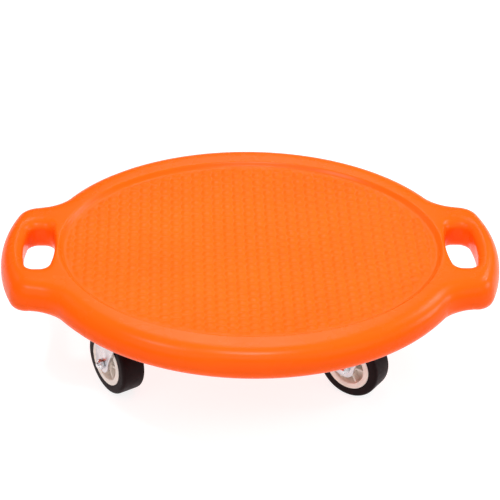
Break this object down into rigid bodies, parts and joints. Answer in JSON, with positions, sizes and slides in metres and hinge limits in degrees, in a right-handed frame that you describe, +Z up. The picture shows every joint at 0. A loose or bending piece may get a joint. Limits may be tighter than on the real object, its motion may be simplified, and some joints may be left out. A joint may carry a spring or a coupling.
{
  "type": "scooter_board",
  "caption": "Oval plastic scooter board with a dished textured seat, a hand hole at each end and swivel casters with rubber tyres",
  "frame": {"origin": "On the floor under the middle of the deck, so that the tyres touch height zero.", "axes": "X runs along the board towards a handle, Y runs across it and Z points up."},
  "size_m": [0.5572, 0.44, 0.138],
  "materials": {
    "deck_plastic": "orange moulded polyethylene, satin rim and pebbled seat",
    "zinc_plate": "pressed sheet steel, bright zinc plated",
    "bearing_steel": "plain turned steel",
    "fastener_steel": "zinc plated screws, bolts and nuts",
    "wheel_plastic": "off-white moulded polypropylene",
    "tyre_rubber": "black thermoplastic rubber, lightly polished by the floor"
  },
  "bodies": {
    "board": {"deck": "deck_plastic", "mounting_plate_front_left": "zinc_plate", "ball_race_front_left": "bearing_steel", "lower_race_cup_front_left": "zinc_plate", "kingpin_front_left": "bearing_steel", "plate_screw_front_left_1": "fastener_steel", "plate_screw_front_left_2": "fastener_steel", "plate_screw_front_left_3": "fastener_steel", "plate_screw_front_left_4": "fastener_steel", "mounting_plate_front_right": "zinc_plate", "ball_race_front_right": "bearing_steel", "lower_race_cup_front_right": "zinc_plate", "kingpin_front_right": "bearing_steel", "plate_screw_front_right_1": "fastener_steel", "plate_screw_front_right_2": "fastener_steel", "plate_screw_front_right_3": "fastener_steel", "plate_screw_front_right_4": "fastener_steel", "mounting_plate_back_left": "zinc_plate", "ball_race_back_left": "bearing_steel", "lower_race_cup_back_left": "zinc_plate", "kingpin_back_left": "bearing_steel", "plate_screw_back_left_1": "fastener_steel", "plate_screw_back_left_2": "fastener_steel", "plate_screw_back_left_3": "fastener_steel", "plate_screw_back_left_4": "fastener_steel", "mounting_plate_back_right": "zinc_plate", "ball_race_back_right": "bearing_steel", "lower_race_cup_back_right": "zinc_plate", "kingpin_back_right": "bearing_steel", "plate_screw_back_right_1": "fastener_steel", "plate_screw_back_right_2": "fastener_steel", "plate_screw_back_right_3": "fastener_steel", "plate_screw_back_right_4": "fastener_steel"},
    "caster_front_left": {"swivel_fork_front_left": "zinc_plate", "axle_sleeve_front_left": "bearing_steel", "axle_bolt_front_left": "fastener_steel", "axle_nut_front_left": "fastener_steel"},
    "wheel_front_left": {"wheel_core_front_left": "wheel_plastic", "tyre_front_left": "tyre_rubber"},
    "caster_front_right": {"swivel_fork_front_right": "zinc_plate", "axle_sleeve_front_right": "bearing_steel", "axle_bolt_front_right": "fastener_steel", "axle_nut_front_right": "fastener_steel"},
    "wheel_front_right": {"wheel_core_front_right": "wheel_plastic", "tyre_front_right": "tyre_rubber"},
    "caster_back_left": {"swivel_fork_back_left": "zinc_plate", "axle_sleeve_back_left": "bearing_steel", "axle_bolt_back_left": "fastener_steel", "axle_nut_back_left": "fastener_steel"},
    "wheel_back_left": {"wheel_core_back_left": "wheel_plastic", "tyre_back_left": "tyre_rubber"},
    "caster_back_right": {"swivel_fork_back_right": "zinc_plate", "axle_sleeve_back_right": "bearing_steel", "axle_bolt_back_right": "fastener_steel", "axle_nut_back_right": "fastener_steel"},
    "wheel_back_right": {"wheel_core_back_right": "wheel_plastic", "tyre_back_right": "tyre_rubber"}
  },
  "joints": [
    {"name": "swivel_front_left", "type": "hinge", "parent": "board", "child": "caster_front_left", "pos_m": [-0.135, -0.1015, 0.0975], "axis": [0, 0, 1], "continuous": true},
    {"name": "axle_front_left", "type": "hinge", "parent": "caster_front_left", "child": "wheel_front_left", "pos_m": [-0.14918, -0.07899, 0.0375], "axis": [-0.8462, -0.5329, 0], "continuous": true},
    {"name": "swivel_front_right", "type": "hinge", "parent": "board", "child": "caster_front_right", "pos_m": [0.135, -0.1015, 0.0975], "axis": [0, 0, 1], "continuous": true},
    {"name": "axle_front_right", "type": "hinge", "parent": "caster_front_right", "child": "wheel_front_right", "pos_m": [0.11343, -0.08594, 0.0375], "axis": [-0.585, -0.8111, 0], "continuous": true},
    {"name": "swivel_back_left", "type": "hinge", "parent": "board", "child": "caster_back_left", "pos_m": [-0.135, 0.1015, 0.0975], "axis": [0, 0, 1], "continuous": true},
    {"name": "axle_back_left", "type": "hinge", "parent": "caster_back_left", "child": "wheel_back_left", "pos_m": [-0.15245, 0.12158, 0.0375], "axis": [-0.7547, -0.6561, 0], "continuous": true},
    {"name": "swivel_back_right", "type": "hinge", "parent": "board", "child": "caster_back_right", "pos_m": [0.135, 0.1015, 0.0975], "axis": [0, 0, 1], "continuous": true},
    {"name": "axle_back_right", "type": "hinge", "parent": "caster_back_right", "child": "wheel_back_right", "pos_m": [0.11523, 0.1193, 0.0375], "axis": [-0.6691, -0.7431, 0], "continuous": true}
  ]
}
